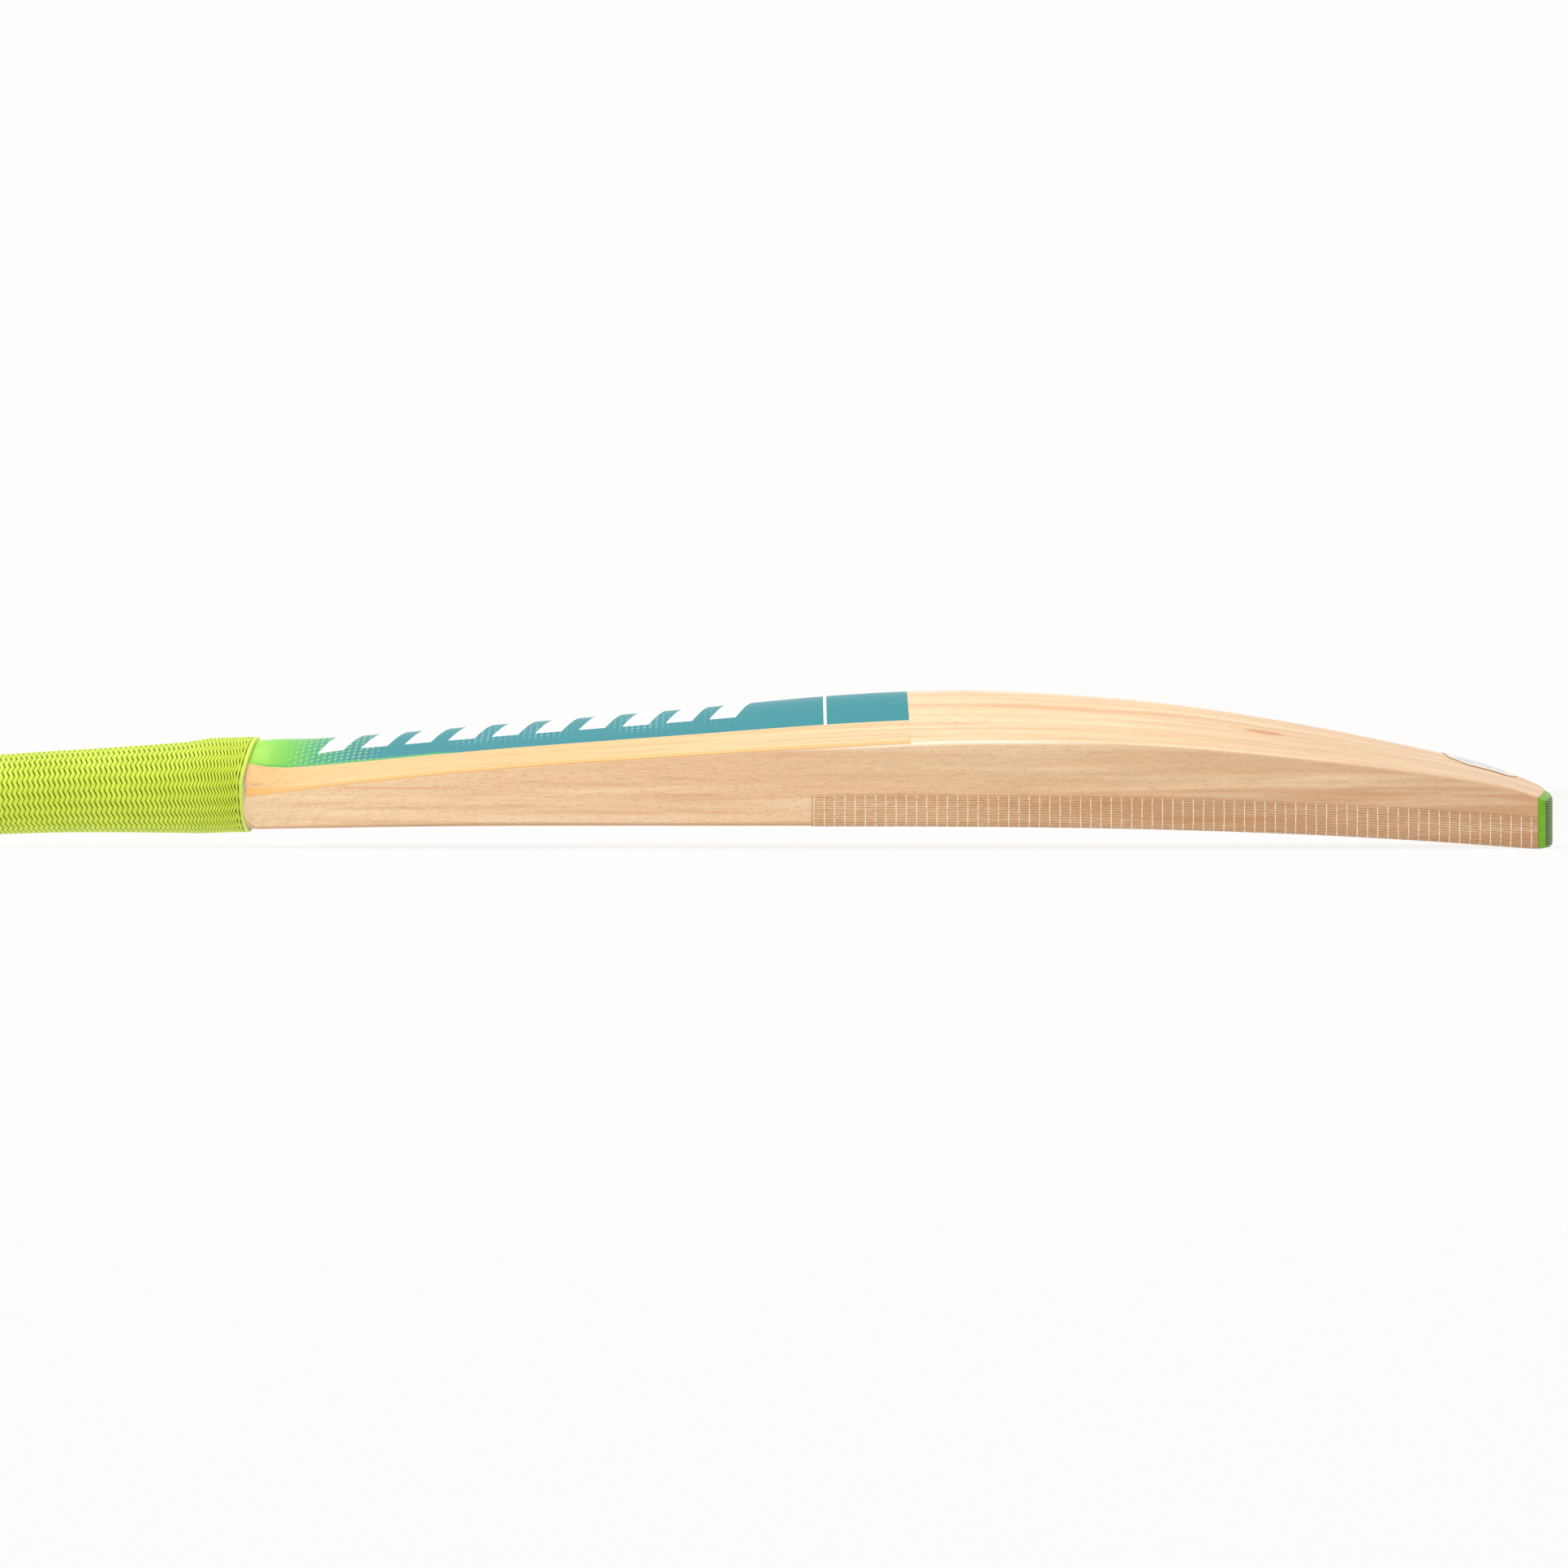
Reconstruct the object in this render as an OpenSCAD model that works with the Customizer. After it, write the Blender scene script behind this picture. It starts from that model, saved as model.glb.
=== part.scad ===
// Cricket bat lying on its face, spine up. X runs along the bat, from the handle's end to the toe.

/* [Blade] */
// Length of the blade, from the neck to the outside of the toe guard
blade_len = 569.2; // [540:0.1:590]
// Width of the blade between its two edges
blade_w = 107; // [100:0.5:108]
// Length of the shoulders, over which the blade narrows to the neck
shoulder_len = 52; // [35:1:70]
// Width of the willow at the neck
neck_w = 40; // [38:0.5:44]
// Height of the flat stretch of the face above the floor plane
face_height = 9.7; // [6:0.1:12]
// How far the face falls from its flat stretch to the neck
neck_drop = 2; // [0:0.1:4]
// Radius of the arc at the toe, seen from the face
toe_arc_r = 138; // [120:1:200]

/* [Handle] */
// Length of the cane handle, from the neck to its end
handle_len = 286; // [270:1:310]
// Radius of the bare cane in the upper hand
cane_r = 14.9; // [14:0.1:16]
// Height of the handle's centre above the floor plane, at the neck
neck_axis_z = 26; // [24:0.1:28]
// Length over which the oval neck turns into the round handle
flare_len = 136; // [100:1:150]
// Length of the V splice inside the blade
splice_len = 140; // [120:1:150]
// Half width of the splice at the neck
splice_half_w = 17.5; // [15:0.1:18]
// Half width of the splice at its blunt end
splice_tip_half_w = 2.2; // [1:0.1:4]
// Thickness of each rubber spring between two rows of cane
spring_t = 1.2; // [0.8:0.1:2]
// Distance between the middles of two neighbouring springs
spring_pitch = 9; // [8:0.1:10]
// Half width of the middle column of cane
middle_cane_half_w = 5.8; // [5:0.1:7]

/* [Binding and grip] */
// Thickness of the twine layer
twine_t = 0.8; // [0.5:0.1:1.2]
// Thickness of the rubber grip, over its ridges
grip_t = 1.6; // [1.2:0.1:2.2]
// Length of the exactly round stretch of the grip
round_grip_len = 150; // [120:1:160]
// Thickness of the grip's turned-in end
grip_cap_t = 1.5; // [1:0.1:2]
// Radius of the opening in the grip's end
grip_mouth_r = 9; // [6:0.5:12]
// How far the grip's rim reaches over the back of the neck
rim_reach = 4; // [0:0.5:6]
// How far the grip's rim stands up at the back of the neck
rim_swell = 0.6; // [0:0.1:1]
// Width of the fabric tape round the neck
neck_tape_len = 16; // [10:1:25]
// Thickness of the fabric tape
neck_tape_t = 0.35; // [0.2:0.05:0.5]

/* [Films and toe guard] */
// Thickness of the reinforced sheet over the face
sheet_t = 0.3; // [0.2:0.05:0.5]
// Distance from the neck to the upper end of the reinforced sheet
sheet_start = 247.7; // [200:0.1:300]
// Height to which the sheet is folded up over the blade's edges
sheet_flap = 13; // [8:0.5:16]
// Thickness of the printed labels
label_t = 0.2; // [0.1:0.05:0.3]
// Distance from the neck to the lower end of the face label
face_label_end = 140; // [100:1:144]
// Distance from the neck to the lower end of the back label
back_label_end = 289.5; // [250:0.5:320]
// Thickness of the rubber toe guard
guard_t = 3.8; // [2.5:0.1:5]
// Distance between two grooves in the toe guard's end
groove_pitch = 1.1; // [0.9:0.05:2]

/* [Hidden] */
ROWS = ["face", "inner_front", "inner_back", "back"];
COLUMNS = ["left", "middle", "right"];
SPRINGS = ["front", "middle", "back"];

// Blade profile: distance from the neck, height of the edges and height of the spine over the face
PROFILE = [
    [0, 13.5, 37.8], [50, 18.4, 39.4], [120, 24.6, 44.3], [190, 29.4, 50], [260, 33.5, 56.4],
    [312, 35.7, 58.6], [362, 35.8, 57.2], [405, 34.6, 54.2], [455, 31.8, 48.4], [500, 28.9, 42],
    [540, 25, 35.3], [560, 20.2, 29.2], [580, 14.8, 18.5]
];
FACE_FLAT_FROM = 138;
FACE_FLAT_TO = 256;
FACE_DOWN_AT = 552;
BOW_POWER = 2.6;
OVAL_LEN = 13;
// Places of the flank's points, as shares of its width, the third being the printed band's border
FLANK = [1, 0.82, 0.64, 0.48, 0.33, 0.2, 0.1, 0];
CORNER_STEPS = 3;
FACE_CORNER_R = 2;
EDGE_CORNER_R = 1.1;
RIDGE_R = 11;
LIP_R = 2;
LABEL_START = 3.4;
SKIN_GAP = 0.02;
WILLOW_COLOR = [0.91, 0.77, 0.6];
CANE_COLOR = [0.87, 0.72, 0.48];
LIME = [0.68, 0.84, 0.13];
TEAL = [0.2, 0.58, 0.64];

grip_r = cane_r + twine_t + grip_t;
handle_tilt = asin((neck_axis_z - grip_r) / handle_len);
wood_len = blade_len - guard_t;
toe_axis_x = wood_len - toe_arc_r;
handle_end_x = (handle_len + grip_cap_t - LIP_R) * cos(handle_tilt) + (grip_r - LIP_R) * sin(handle_tilt) + LIP_R;
middle_x = (blade_len - handle_end_x) / 2;

function mix(a, b, k) = a + (b - a) * k;
function clamp01(k) = min(1, max(0, k));
function smooth(k) = pow(clamp01(k), 2) * (3 - 2 * clamp01(k));

// Slope of column c of the profile at its row i
function slope(c, i) =
    let (lo = max(0, i - 1), hi = min(len(PROFILE) - 1, i + 1))
    (PROFILE[hi][c] - PROFILE[lo][c]) / (PROFILE[hi][0] - PROFILE[lo][0]);

// Row of the profile that starts the stretch holding x
function row_of(x, i = 0) =
    i >= len(PROFILE) - 2 || x < PROFILE[i + 1][0] ? i : row_of(x, i + 1);

// Column c of the profile at x, on a smooth curve through its rows
function profile(c, x) =
    let (
        i = row_of(x),
        span = PROFILE[i + 1][0] - PROFILE[i][0],
        k = (x - PROFILE[i][0]) / span
    )
    (2 * pow(k, 3) - 3 * k * k + 1) * PROFILE[i][c]
    + (pow(k, 3) - 2 * k * k + k) * span * slope(c, i)
    + (3 * k * k - 2 * pow(k, 3)) * PROFILE[i + 1][c]
    + (pow(k, 3) - k * k) * span * slope(c, i + 1);

function face_z(x) =
    face_height
    - neck_drop * pow(clamp01((FACE_FLAT_FROM - x) / FACE_FLAT_FROM), 2)
    - (face_height - sheet_t) * pow(clamp01((x - FACE_FLAT_TO) / (FACE_DOWN_AT - FACE_FLAT_TO)), BOW_POWER);

function half_w(x) =
    mix(neck_w / 2, blade_w / 2, pow(sin(90 * pow(clamp01(x / shoulder_len), 0.85)), 2));

// Half of a blade section, from the middle of the face round the edge to the spine, grown outwards by t
function half_section(w, edge, spine, t) =
    let (
        wt = w + t,
        r = FACE_CORNER_R + t,
        bevel = EDGE_CORNER_R,
        fold = min(sheet_flap, 0.7 * edge),
        steep = (spine - edge) / (norm([wt, RIDGE_R]) - RIDGE_R),
        low = [wt, edge + t - bevel],
        corner = [wt, edge + t],
        high = [wt - bevel, edge + t + steep * bevel * 0.9],
        span = wt - 1.8 * bevel
    )
    concat(
        [[0, -t], [0.5 * (wt - r), -t], [wt - r, -t]],
        [for (q = [1:CORNER_STEPS])
            let (a = -90 + 90 * q / CORNER_STEPS)
            [wt - r + r * cos(a), r - t + r * sin(a)]],
        [[wt, fold], [wt, (fold + edge) / 2], low, 0.25 * low + 0.5 * corner + 0.25 * high, high],
        [for (k = FLANK) [k * span, spine + t - steep * (norm([k * span, RIDGE_R]) - RIDGE_R)]]
    );

function both_halves(half) =
    concat(half, [for (i = [len(half) - 2:-1:1]) [-half[i][0], half[i][1]]]);

// Section at x, which turns into an oval at the neck
function blade_ring(x, t = 0) =
    let (
        w = half_w(x),
        spine = profile(2, x),
        middle = [0, spine / 2],
        oval = 1 - smooth(x / OVAL_LEN)
    )
    [for (p = both_halves(half_section(w, profile(1, x), spine, t)))
        let (
            d = p - middle,
            q = middle + d * mix(1, 1 / norm([d[0] / (w + t), d[1] / (spine / 2 + t)]), oval)
        )
        [x, q[0], face_z(x) + q[1]]];

// Ring of the handle at distance u from the neck, turning from the neck's oval into a circle
function handle_ring(u, t = 0) =
    let (
        round = 1 - pow(1 - clamp01(u / flare_len), 2),
        tilt = handle_tilt * clamp01(u / 20),
        neck_z = face_z(0) + profile(2, 0) / 2,
        lift = (neck_z - neck_axis_z) * smooth((flare_len - 20 - u) / 40),
        centre = [-u * cos(handle_tilt), 0, neck_axis_z + lift - u * sin(handle_tilt)]
    )
    [for (p = blade_ring(0, t))
        let (
            d = [p[1], p[2] - neck_z],
            q = d * mix(1, (cane_r + t) / norm(d), round)
        )
        centre + [-q[1] * sin(tilt), q[0], q[1] * cos(tilt)]];

// Closed solid through rings of n points each
module loft(rings) {
    n = len(rings[0]);
    m = len(rings);
    polyhedron(
        points = [for (ring = rings) for (p = ring) p],
        faces = concat(
            [for (i = [0:m - 2]) for (j = [0:n - 1]) [i * n + (j + 1) % n, i * n + j, (i + 1) * n + j]],
            [for (i = [0:m - 2]) for (j = [0:n - 1])
                [(i + 1) * n + (j + 1) % n, i * n + (j + 1) % n, (i + 1) * n + j]],
            [[for (j = [0:n - 1]) j]],
            [[for (j = [n - 1:-1:0]) (m - 1) * n + j]]
        )
    );
}

// Closed wall through rings whose first half is its outside and second half its inside
module wall_loft(rings, closed) {
    n = len(rings[0]) / 2;
    m = len(rings);
    full = 2 * n;
    last = closed ? n - 1 : n - 2;
    polyhedron(
        points = [for (ring = rings) for (p = ring) p],
        faces = concat(
            [for (i = [0:m - 2]) for (j = [0:last]) for (side = [0, n])
                let (
                    a = i * full + side + j,
                    b = i * full + side + (j + 1) % n
                )
                for (f = [[a, b, a + full], [b, b + full, a + full]])
                    side == 0 ? [f[2], f[1], f[0]] : f],
            [for (j = [0:last]) let (k = (j + 1) % n) for (f = [[j, k, n + j], [k, n + k, n + j]]) f],
            [for (j = [0:last]) let (k = (j + 1) % n, e = (m - 1) * full)
                for (f = [[e + j, e + n + j, e + k], [e + k, e + n + j, e + n + k]]) f],
            [for (i = [0:m - 2]) if (!closed) let (a = i * full, b = (i + 1) * full, z = n - 1)
                for (f = [
                    [a, a + n, b], [b, a + n, b + n],
                    [a + z, b + z, a + n + z], [b + z, b + n + z, a + n + z]
                ]) f]
        )
    );
}

HANDLE_STATIONS = [handle_len, flare_len + 10, 118, 96, 76, 56, 40, 28, 18, 9];
function stations(from, to, step) =
    let (n = ceil((to - from) / step)) [for (i = [0:n]) from + (to - from) * i / n];

// Cane and willow as one body, before the splice is cut, from the handle's end to distance x of the blade
module splice_core(x) {
    loft(concat(
        [for (u = HANDLE_STATIONS) handle_ring(u)],
        [for (s = concat(
            stations(0, OVAL_LEN, OVAL_LEN / 2), stations(2 * OVAL_LEN, shoulder_len, OVAL_LEN),
            stations(shoulder_len + 30, x + 2, 30)
        )) blade_ring(s)]
    ));
}

// The splice's outline, seen from the face, cut through the whole depth
module splice_prism() {
    tip = splice_tip_half_w;
    translate([0, 0, -20])
        linear_extrude(120)
            polygon([
                [-handle_len - 10, -40], [0, -40], [0, -splice_half_w], [splice_len, -tip],
                [splice_len, tip], [0, splice_half_w], [0, 40], [-handle_len - 10, 40]
            ]);
}

module blade() {
    color(WILLOW_COLOR)
        difference() {
            intersection() {
                loft([for (s = concat(
                    stations(0, shoulder_len, 6.5), stations(shoulder_len + 16, FACE_DOWN_AT, 20),
                    stations(FACE_DOWN_AT + 6, blade_len + 4, 8)
                )) blade_ring(s)]);
                translate([toe_axis_x, 0, -5])
                    union() {
                        cylinder(h = 90, r = toe_arc_r, $fn = 180);
                        translate([-toe_axis_x - 5, -80, 0]) cube([toe_axis_x + 5, 160, 90]);
                    }
            }
            splice_prism();
        }
}

// Rows are counted from the face upwards and columns from left to right, seen from the handle's end
module cane_cell(row, column) {
    half = spring_t / 2;
    edges_z = [-60, -spring_pitch + half, half, spring_pitch + half];
    tops_z = [-spring_pitch - half, -half, spring_pitch - half, 60];
    edges_y = [-40, -middle_cane_half_w, middle_cane_half_w];
    tops_y = [-middle_cane_half_w, middle_cane_half_w, 40];
    translate([0, 0, neck_axis_z])
        rotate([0, -handle_tilt, 0])
            translate([-handle_len - 20, edges_y[column], edges_z[row]])
                cube([
                    handle_len + splice_len + 40,
                    tops_y[column] - edges_y[column],
                    tops_z[row] - edges_z[row]
                ]);
}

module cane(row, column) {
    color(CANE_COLOR)
        intersection() {
            splice_core(splice_len);
            splice_prism();
            cane_cell(row, column);
        }
}

module rubber_spring(i) {
    color([0.12, 0.11, 0.11])
        intersection() {
            splice_core(splice_len);
            splice_prism();
            translate([0, 0, neck_axis_z])
                rotate([0, -handle_tilt, 0])
                    translate([-handle_len - 20, -40, (i - 1) * spring_pitch - spring_t / 2])
                        cube([handle_len + splice_len + 40, 80, spring_t]);
        }
}

// Sleeve over the handle between distances a and b from the neck, from thickness t0 to t1
module handle_sleeve(a, b, t0, t1) {
    places = concat([b], [for (u = HANDLE_STATIONS) if (u < b - 2 && u > a + 2) u], [a]);
    wall_loft([for (u = places) concat(handle_ring(u, t1), handle_ring(u, t0))], true);
}

module handle_binding() {
    color([0.93, 0.9, 0.82])
        handle_sleeve(neck_tape_len, handle_len - 1, SKIN_GAP, twine_t);
}

module neck_tape() {
    color([0.93, 0.92, 0.9])
        wall_loft(concat(
            [for (u = [neck_tape_len - 0.5, 9, 4])
                concat(handle_ring(u, neck_tape_t), handle_ring(u, SKIN_GAP))],
            [for (s = [0.5, 3.2]) concat(blade_ring(s, neck_tape_t), blade_ring(s, SKIN_GAP))]
        ), true);
}

// Ring of the grip's rim: it reaches further, and stands prouder, over the back of the neck
function rim_ring(x, t) =
    let (low = face_z(0), high = low + profile(2, 0))
    [for (p = blade_ring(x, t))
        let (up = smooth((p[2] - low - 18) / (high - low - 18)))
        [p[0] + rim_reach * up, p[1], p[2] + (t > 1 ? rim_swell * up : 0)]];

// Thickness from the handle to the outside of the grip at distance u from the neck
function grip_outside(u) = mix(1.3, twine_t + grip_t, smooth(u / 22));
function grip_inside(u) = mix(neck_tape_t + 0.1, twine_t + SKIN_GAP, smooth((u - neck_tape_len) / 4));

module grip() {
    joint_u = handle_len - round_grip_len;
    color(LIME)
        union() {
            wall_loft(concat(
                [concat(handle_ring(joint_u + 1, twine_t + grip_t - 0.1), handle_ring(joint_u + 1, 1.2))],
                [for (u = concat([for (k = HANDLE_STATIONS) if (k < joint_u) k]))
                    concat(handle_ring(u, grip_outside(u)), handle_ring(u, grip_inside(u)))],
                [for (x = [0, 2.4]) concat(rim_ring(x, 1.4), rim_ring(x, neck_tape_t + 0.1))]
            ), true);
            translate([-handle_len * cos(handle_tilt), 0, neck_axis_z - handle_len * sin(handle_tilt)])
                rotate([0, 90 - handle_tilt, 0])
                    rotate_extrude($fn = 96)
                        difference() {
                            union() {
                                translate([0, LIP_R - grip_cap_t])
                                    square([grip_r, round_grip_len + grip_cap_t - LIP_R]);
                                translate([0, -grip_cap_t]) square([grip_r - LIP_R, 2 * LIP_R]);
                                translate([grip_r - LIP_R, LIP_R - grip_cap_t])
                                    circle(r = LIP_R, $fn = 48);
                            }
                            translate([-1, -5]) square([grip_mouth_r + 1, 10]);
                            translate([-1, 0]) square([cane_r + twine_t + SKIN_GAP + 1, round_grip_len + 10]);
                        }
        }
}

// Film on the blade between points i0 and i1 of each ring, over the stations, of thickness t
module film(places, i0, i1, t) {
    wall_loft([for (s = places)
        let (outside = blade_ring(s, t), inside = blade_ring(s, SKIN_GAP))
        concat(
            [for (i = [i0:i1]) outside[(i + len(outside)) % len(outside)]],
            [for (i = [i0:i1]) inside[(i + len(inside)) % len(inside)]]
        )
    ], false);
}

HALF = len(half_section(blade_w / 2, 30, 50, 0)) - 1;
FOLD_POINT = 2 + CORNER_STEPS + 1;
EDGE_POINT = FOLD_POINT + 4;

module face_sheet() {
    color([0.93, 0.84, 0.7])
        intersection() {
            film(stations(sheet_start, wood_len + 2, 16), -FOLD_POINT, FOLD_POINT, sheet_t);
            translate([toe_axis_x, 0, -5])
                union() {
                    cylinder(h = 40, r = toe_arc_r - 0.3, $fn = 180);
                    translate([-toe_axis_x, -80, 0]) cube([toe_axis_x, 160, 40]);
                }
        }
}

module back_label() {
    color(TEAL)
        film(
            concat([LABEL_START, 8], stations(shoulder_len / 4, shoulder_len, 6.5),
                stations(shoulder_len + 14, back_label_end, 17)),
            EDGE_POINT, 2 * HALF - EDGE_POINT, label_t
        );
}

module toe_label() {
    color([0.8, 0.88, 0.9])
        film(stations(524, 551, 9), HALF - 4, HALF + 4, label_t);
}

module face_label() {
    color(TEAL)
        film(stations(shoulder_len, face_label_end, 45), -1, 1, label_t);
}

module toe_guard() {
    groove_r = 0.35;
    low = 4;
    high = 26;
    grooves = floor((high - low) / groove_pitch);
    color([0.4, 0.67, 0.13])
        difference() {
            intersection() {
                loft([for (s = stations(540, blade_len + 4, 5)) blade_ring(s)]);
                translate([toe_axis_x, 0, -5])
                    difference() {
                        cylinder(h = 50, r = toe_arc_r + guard_t, $fn = 180);
                        translate([0, 0, -1]) cylinder(h = 52, r = toe_arc_r, $fn = 180);
                    }
            }
            for (i = [0:grooves])
                translate([toe_axis_x, 0, low + i * groove_pitch])
                    rotate_extrude($fn = 180)
                        translate([toe_arc_r + guard_t, 0])
                            circle(r = groove_r, $fn = 16);
        }
}

module at_origin() {
    translate([-middle_x, 0, 0]) children();
}

at_origin() blade();
for (r = [0:3]) for (c = [0:2])
    at_origin() cane(r, c);
for (i = [0:2])
    at_origin() rubber_spring(i);
at_origin() handle_binding();
at_origin() neck_tape();
at_origin() grip();
at_origin() face_sheet();
at_origin() toe_guard();
at_origin() back_label();
at_origin() toe_label();
at_origin() face_label();
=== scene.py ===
import math

import bpy
import numpy as np
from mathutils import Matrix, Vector


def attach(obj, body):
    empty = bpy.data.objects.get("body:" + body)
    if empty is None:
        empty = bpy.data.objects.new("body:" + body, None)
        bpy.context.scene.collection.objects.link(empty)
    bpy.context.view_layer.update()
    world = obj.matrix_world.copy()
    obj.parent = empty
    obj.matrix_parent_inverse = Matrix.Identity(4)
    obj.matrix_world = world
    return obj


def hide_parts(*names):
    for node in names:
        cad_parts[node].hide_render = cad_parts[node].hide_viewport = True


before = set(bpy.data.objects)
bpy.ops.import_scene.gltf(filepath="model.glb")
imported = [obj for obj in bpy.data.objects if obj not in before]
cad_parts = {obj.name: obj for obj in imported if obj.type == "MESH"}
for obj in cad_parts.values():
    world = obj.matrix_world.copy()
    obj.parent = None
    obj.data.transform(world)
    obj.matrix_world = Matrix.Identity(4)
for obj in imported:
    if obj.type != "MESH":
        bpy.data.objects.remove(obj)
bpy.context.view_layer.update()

# Lengths below are millimetres. x runs from the neck towards the toe, z is height over the floor plane.
MM = 0.001
MIDDLE_X = 140.683
BLADE_LEN = 569.2
HALF_WIDTH, NECK_HALF_WIDTH, SHOULDER_LEN, SHOULDER_POWER = 53.5, 20.0, 52.0, 0.85
# The neck turns from an oval to the blade's corners over these lengths, above and below its middle
OVAL_LEN, LOW_OVAL_LEN = 13.0, 8.0
CORNER_R, EDGE_BEVEL, RIDGE_R = 2.0, 1.1, 11.0
TOE_R, GUARD_T = 138.0, 3.8
TOE_AXIS_X = BLADE_LEN - GUARD_T - TOE_R
FACE_Z, NECK_DROP, FACE_END_Z = 9.7, 2.0, 0.3
NECK_DROP_LEN, BOW_START, BOW_LEN, BOW_POWER = 138, 256, 296, 2.6
HANDLE_LEN, CANE_R, NECK_AXIS_Z, FLARE_LEN = 286.0, 14.9, 26.0, 136.0
GRIP_R, GRIP_CAP_T, MOUTH_R, LIP_R = 17.3, 1.5, 9.0, 2.0
TILT = math.asin((NECK_AXIS_Z - GRIP_R) / HANDLE_LEN)
SHEET_START, SHEET_T, SHEET_FLAP, YARN_PITCH = 247.7, 0.3, 13.0, 4.33
LABEL_START, LABEL_END, LABEL_T, PRINT_SHARE = 3.4, 289.5, 0.2, 0.64
FILM_GAP = 0.01
SPLICE_LEN, SPLICE_HALF_WIDTH, SPLICE_TIP_HALF_WIDTH = 140, 17.5, 2.2
TOE_ROWS_START = 500
# Distance from the neck, height of the edges and height of the spine over the face
PROFILE = np.array([
    [0, 13.5, 37.8], [50, 18.4, 39.4], [120, 24.6, 44.3], [190, 29.4, 50], [260, 33.5, 56.4],
    [312, 35.7, 58.6], [362, 35.8, 57.2], [405, 34.6, 54.2], [455, 31.8, 48.4], [500, 28.9, 42],
    [540, 25, 35.3], [560, 20.2, 29.2], [580, 14.8, 18.5],
])


def smooth(k):
    k = np.clip(k, 0, 1)
    return k * k * (3 - 2 * k)


def mix(a, b, k):
    return a + (b - a) * k


def profile(column, x):
    """Smooth curve through one column of the profile."""
    px, py = PROFILE[:, 0], PROFILE[:, column]
    slope = np.gradient(py, np.arange(len(py))) / np.gradient(px, np.arange(len(px)))
    i = np.clip(np.searchsorted(px, x, "right") - 1, 0, len(px) - 2)
    span = px[i + 1] - px[i]
    k = (x - px[i]) / span
    return ((2 * k**3 - 3 * k**2 + 1) * py[i] + (k**3 - 2 * k**2 + k) * span * slope[i]
            + (3 * k**2 - 2 * k**3) * py[i + 1] + (k**3 - k**2) * span * slope[i + 1])


def face_z(x):
    fall = (FACE_Z - FACE_END_Z) * np.clip((x - BOW_START) / BOW_LEN, 0, 1) ** BOW_POWER
    return FACE_Z - NECK_DROP * np.clip((NECK_DROP_LEN - x) / NECK_DROP_LEN, 0, 1) ** 2 - fall


def half_width(x):
    k = np.clip(x / SHOULDER_LEN, 0, 1) ** SHOULDER_POWER
    return mix(NECK_HALF_WIDTH, HALF_WIDTH, np.sin(k * math.pi / 2) ** 2)


# Parts of half a section, from the middle of the face to the spine
FACE, CORNER, LOW_SIDE, HIGH_SIDE, BEVEL, FLANK = range(6)


def outline(flat=12, corner=5, low_side=6, high_side=5, bevel=4, flank=26):
    """Places round half a section as (part, share) pairs, with the number of steps in each part."""
    def split(part, count, extra=()):
        return [(part, k) for k in sorted([i / count for i in range(count)] + list(extra))]
    parts = split(FACE, flat, (0.985,)) + split(CORNER, corner) + split(LOW_SIDE, low_side, (0.03,))
    parts += split(HIGH_SIDE, high_side, (0.97,)) + split(BEVEL, bevel)
    parts += split(FLANK, flank, (0.006,)) + [(FLANK, 1.0)]
    return np.array(parts)


def section(x, places, t=0.0):
    """Half section at x (one x for every place), grown outwards by t: sideways and upward coordinates."""
    part, share = places[:, 0], places[:, 1]
    x = np.asarray(x, float)
    w, edge, spine = half_width(x), profile(1, x), profile(2, x)
    wt, corner_r = w + t, CORNER_R + t
    steep = (spine - edge) / (np.hypot(wt, RIDGE_R) - RIDGE_R)
    fold = np.minimum(SHEET_FLAP, 0.7 * edge)
    low_z, span = edge + t - EDGE_BEVEL, wt - 1.8 * EDGE_BEVEL
    high_y, high_z = wt - EDGE_BEVEL, edge + t + steep * EDGE_BEVEL * 0.9
    turn = share * math.pi / 2
    bend = [(1 - share) ** 2, 2 * share * (1 - share), share**2]
    flank_y = np.where(share == 0, high_y, np.minimum((1 - share) * wt, span))
    flank_z = spine + t - steep * (np.hypot(flank_y, RIDGE_R) - RIDGE_R)
    flank_z = np.where(share == 0, high_z, flank_z)
    y = np.select([part == i for i in range(6)], [
        share * (wt - corner_r), wt - corner_r + corner_r * np.sin(turn), wt + 0 * share, wt + 0 * share,
        bend[0] * wt + bend[1] * wt + bend[2] * high_y, flank_y])
    z = np.select([part == i for i in range(6)], [
        -t + 0 * share + 0 * x, corner_r - t - corner_r * np.cos(turn), mix(corner_r - t, fold, share),
        mix(fold, low_z, share), bend[0] * low_z + bend[1] * (edge + t) + bend[2] * high_z, flank_z])
    dz = z - spine / 2
    oval = 1 - np.clip(x / np.where(dz > 0, OVAL_LEN, LOW_OVAL_LEN), 0, 1)
    reach = np.hypot(y / (w + t), dz / (spine / 2 + t))
    pull = mix(1, 1 / np.maximum(reach, 0.2), oval)
    return y * pull, face_z(x) + spine / 2 + dz * pull


def toe_x(y, r=TOE_R):
    return TOE_AXIS_X + np.sqrt(r * r - y * y)


def lengthways(x0, x1, steps, places, t=0.0, to_toe=False):
    """Grid of points over half the blade between x0 and x1, or to the toe's arc."""
    rows = []
    for s in steps:
        x = np.full(len(places), x0 + (x1 - x0) * s)
        if to_toe:
            y, _ = section(np.full(len(places), float(x1)), places, t)
            x = mix(x0, toe_x(y) - 0.05, s)
        y, z = section(x, places, t)
        rows.append(np.stack([x, y, z], 1))
    return np.array(rows)


def mirrored(grid, loop):
    """Adds the other half of each row. loop closes the ring through face and spine."""
    other = grid[:, ::-1].copy()
    other[..., 1] *= -1
    return np.concatenate([grid, other[:, 1:-1] if loop else other[:, 1:]], 1)


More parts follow.
